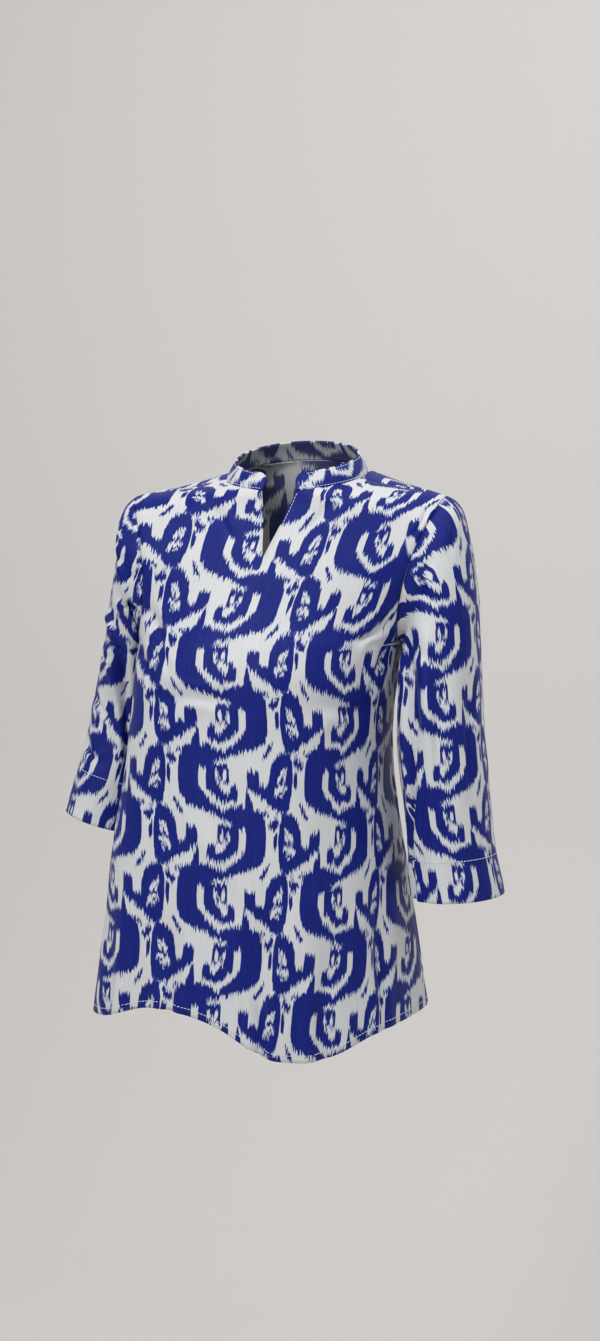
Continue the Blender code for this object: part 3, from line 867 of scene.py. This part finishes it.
threadMaterial = bpy.data.materials.new("topstitch_thread")
threadMaterial.use_nodes = True
threadShader = threadMaterial.node_tree.nodes["Principled BSDF"]
threadTree = threadMaterial.node_tree
threadPlace = threadTree.nodes.new("ShaderNodeTexCoord")
threadTwist = threadTree.nodes.new("ShaderNodeTexNoise")
threadTwist.inputs["Scale"].default_value = 900
threadTree.links.new(threadPlace.outputs["Object"], threadTwist.inputs["Vector"])
threadColour = blend(threadTree, threadTwist.outputs[0], (0.86, 0.85, 0.83), (0.70, 0.70, 0.70))
threadTree.links.new(threadColour, threadShader.inputs["Base Color"])
threadShader.inputs["Roughness"].default_value = 0.55
threadShader.inputs["Sheen Weight"].default_value = 0.2

stitches = bmesh.new()
addStitches(stitches, panelHemPath(True, stitch["hemUp"]), frontMesh)
addStitches(stitches, panelHemPath(False, stitch["hemUp"]), backMesh)
addStitches(stitches, sleeveHemPath(1, leftRings, stitch["leftCuffUp"]), leftMesh)
addStitches(stitches, sleeveHemPath(-1, rightRings, stitch["rightCuffUp"]), rightMesh)
addStitches(stitches, collarPath(stitch["collarLow"], 0.02), collarMesh)
addStitches(stitches, collarPath(stitch["collarHigh"], 0.13), collarMesh)
addStitches(stitches, notchPath(-1), frontMesh)
addStitches(stitches, notchPath(1), frontMesh)
stitchData = bpy.data.meshes.new("topstitching")
stitches.to_mesh(stitchData)
stitchData.shade_smooth()
stitchData.materials.append(threadMaterial)
stitchPiece = bpy.data.objects.new("topstitching", stitchData)
scene.collection.objects.link(stitchPiece)
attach(stitchPiece, "root")
print("topstitching made")

room = {"half": 7.0, "floor": -1.45, "bend": 0.9, "wall": 1.9, "top": 5.0, "steps": 16}


# a pale floor that sweeps up into the wall behind
def makeBackdrop(look):
    profile = [(-look["half"], look["floor"])]
    for i in range(look["steps"] + 1):
        turn = pi / 2 * i / look["steps"]
        profile.append((look["wall"] - look["bend"] * (1 - sin(turn)), look["floor"] + look["bend"] * (
            1 - cos(turn))))
    profile.append((look["wall"], look["top"]))
    mesh = bmesh.new()
    made = bmesh.ops.create_grid(mesh, x_segments=1, y_segments=len(profile) - 1, size=1)
    for index, vertex in enumerate(made["verts"]):
        y, z = profile[index // 2]
        vertex.co = ((index % 2 * 2 - 1) * look["half"], y, z)
    mesh.normal_update()
    mesh.faces.ensure_lookup_table()
    if mesh.faces[0].normal.z < 0:
        bmesh.ops.reverse_faces(mesh, faces=mesh.faces)
    data = bpy.data.meshes.new("backdrop")
    mesh.to_mesh(data)
    mesh.free()
    data.shade_smooth()
    piece = bpy.data.objects.new("backdrop", data)
    scene.collection.objects.link(piece)
    material = bpy.data.materials.new("backdrop_paint")
    material.use_nodes = True
    shader = material.node_tree.nodes["Principled BSDF"]
    shader.inputs["Base Color"].default_value = (0.86, 0.83, 0.80, 1)
    shader.inputs["Roughness"].default_value = 0.9
    nodes, links = material.node_tree.nodes, material.node_tree.links
    facing = nodes.new("ShaderNodeNewGeometry")
    clear = nodes.new("ShaderNodeBsdfTransparent")
    either = nodes.new("ShaderNodeMixShader")
    links.new(facing.outputs["Backfacing"], either.inputs[0])  # seen through from behind
    links.new(shader.outputs[0], either.inputs[1])
    links.new(clear.outputs[0], either.inputs[2])
    links.new(either.outputs[0], nodes["Material Output"].inputs["Surface"])
    data.materials.append(material)


makeBackdrop(room)


def areaLight(name, place, aim, size, power, colour):
    data = bpy.data.lights.new(name, "AREA")
    data.shape = "RECTANGLE"
    data.size, data.size_y = size
    data.energy = power
    data.color = colour
    lamp = bpy.data.objects.new(name, data)
    lamp.location = place
    lamp.rotation_euler = (Vector(aim) - Vector(place)).to_track_quat("-Z", "Y").to_euler()
    scene.collection.objects.link(lamp)


areaLight("key", (-1.3, -2.4, 1.6), (0, 0, -0.30), (1.3, 1.3), 46, (1.0, 1.0, 1.0))
areaLight("overhead", (0.5, -0.6, 2.2), (0, 0, -0.25), (1.6, 1.2), 30, (1.0, 1.0, 1.0))
areaLight("fill", (2.2, -1.6, 0.3), (0, 0, -0.35), (1.4, 1.8), 8, (0.95, 0.97, 1.0))
areaLight("behind", (1.8, 1.3, 1.5), (0, 0, -0.30), (1.0, 1.0), 7, (1.0, 1.0, 1.0))
world = bpy.data.worlds.new("soft_room")
world.use_nodes = True
world.node_tree.nodes["Background"].inputs[0].default_value = (0.93, 0.95, 1.0, 1)
world.node_tree.nodes["Background"].inputs[1].default_value = 0.27
scene.world = world

view = bpy.data.cameras.new("view")
view.sensor_fit = "VERTICAL"
view.sensor_height = 36
view.lens = 50.2
camera = bpy.data.objects.new("view", view)
camera.location = (0.59182, -2.02724, -0.04364)
camera.rotation_euler = (radians(85), 0, radians(16))
scene.collection.objects.link(camera)
scene.camera = camera
print("stage made")
